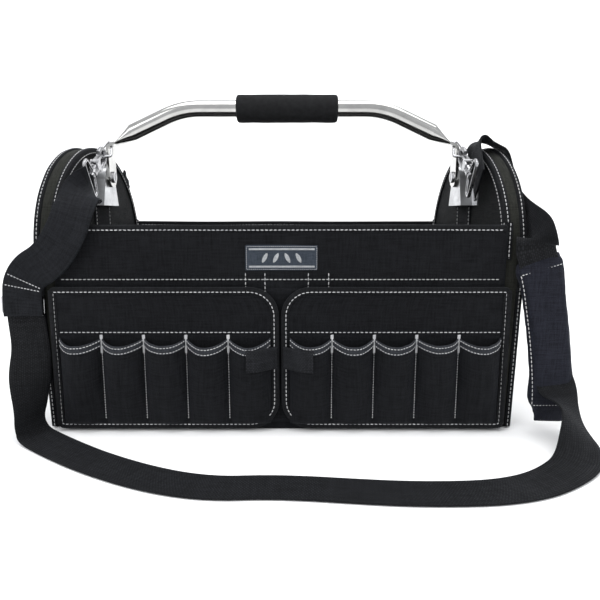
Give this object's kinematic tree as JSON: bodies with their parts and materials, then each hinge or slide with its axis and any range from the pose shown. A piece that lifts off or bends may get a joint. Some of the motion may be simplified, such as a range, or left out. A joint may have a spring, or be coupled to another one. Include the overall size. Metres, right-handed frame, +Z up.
{
  "type": "garden tool bag",
  "caption": "Open-top stiffened fabric tool bag with tall arched padded ends, a tubular carrying handle, hinged pocketed front doors and a padded shoulder strap.",
  "frame": {"origin": "middle of the flat underside of the base", "axes": "+X along the bag's width to the right as seen from the front, -Y out of the front face, +Z up"},
  "size_m": [0.6603, 0.4247, 0.4035],
  "materials": {
    "base_fabric": "coated heavy plain weave",
    "stiffener": "sheet, matt",
    "body_fabric": "coarse plain weave polyester",
    "pocket_fabric": "coarse plain weave polyester",
    "lining_fabric": "fine plain weave",
    "gusset_fabric": "fine plain weave, slightly olive",
    "padding": "closed cell foam",
    "binding_tape": "ribbed binding tape",
    "webbing": "woven webbing",
    "hook_and_loop": "touch fastener pile",
    "label": "woven label, slate",
    "handle_chrome": "bright plated tube",
    "grip_foam": "matt foam rubber",
    "bracket_zinc": "bright zinc plate",
    "rivets": "bright zinc plate",
    "link_wire": "bright plated wire",
    "hook_metal": "bright plated casting",
    "strap_twill": "smooth twill webbing",
    "strap_webbing": "ribbed webbing",
    "slider_metal": "plated wire frame",
    "pad_fabric": "padded plain weave, dark navy"
  },
  "bodies": {
    "bag": {"back_board": "stiffener", "back_lining": "lining_fabric", "back_panel": "body_fabric", "back_rim_binding": "binding_tape", "base_board": "stiffener", "base_panel": "base_fabric", "foam_grip": "grip_foam", "front_board": "stiffener", "front_lining": "lining_fabric", "front_panel": "body_fabric", "front_pockets": "pocket_fabric", "front_rim_binding": "binding_tape", "handle_tube": "handle_chrome", "label_patch": "label", "left_anchor_webbing": "webbing", "left_bracket": "bracket_zinc", "left_end_core": "padding", "left_end_gusset": "gusset_fabric", "left_end_inner_binding": "binding_tape", "left_end_inner_panel": "lining_fabric", "left_end_outer_binding": "binding_tape", "left_end_outer_panel": "body_fabric", "left_hook_body": "hook_metal", "left_hook_eye": "hook_metal", "left_wire_link": "link_wire", "loop_patches": "hook_and_loop", "rear_tab": "webbing", "right_anchor_webbing": "webbing", "right_bracket": "bracket_zinc", "right_end_core": "padding", "right_end_gusset": "gusset_fabric", "right_end_inner_binding": "binding_tape", "right_end_inner_panel": "lining_fabric", "right_end_outer_binding": "binding_tape", "right_end_outer_panel": "body_fabric", "right_hook_body": "hook_metal", "right_hook_eye": "hook_metal", "right_wire_link": "link_wire", "shoulder_pad": "pad_fabric", "strap_return": "strap_twill", "strap_slider": "slider_metal", "strap_webbing": "strap_webbing", "tang_rivets": "rivets", "wing_rivets": "rivets"},
    "left_door": {"left_door_lining": "lining_fabric", "left_door_board": "stiffener", "left_door_panel": "body_fabric", "left_door_binding": "binding_tape", "left_door_pockets": "pocket_fabric", "left_pull_tab": "webbing", "left_hook_patch": "hook_and_loop"},
    "right_door": {"right_door_lining": "lining_fabric", "right_door_board": "stiffener", "right_door_panel": "body_fabric", "right_door_binding": "binding_tape", "right_door_pockets": "pocket_fabric", "right_pull_tab": "webbing", "right_hook_patch": "hook_and_loop"},
    "left_gate": {"left_hook_gate": "hook_metal"},
    "right_gate": {"right_hook_gate": "hook_metal"}
  },
  "joints": [
    {"name": "left_door_hinge", "type": "hinge", "parent": "bag", "child": "left_door", "pos_m": [-0.259, -0.127, 0.088], "axis": [0, 0, 1], "range_deg": [-90, 0]},
    {"name": "right_door_hinge", "type": "hinge", "parent": "bag", "child": "right_door", "pos_m": [0.259, -0.127, 0.088], "axis": [0, 0, 1], "range_deg": [0, 90]},
    {"name": "left_gate_hinge", "type": "hinge", "parent": "bag", "child": "left_gate", "pos_m": [-0.2285, -0.05148, 0.31465], "axis": [1, 0, 0], "range_deg": [-25, 0], "stiffness_Nm_per_rad": 0.02},
    {"name": "right_gate_hinge", "type": "hinge", "parent": "bag", "child": "right_gate", "pos_m": [0.2285, -0.05148, 0.31465], "axis": [1, 0, 0], "range_deg": [-25, 0], "stiffness_Nm_per_rad": 0.02}
  ]
}
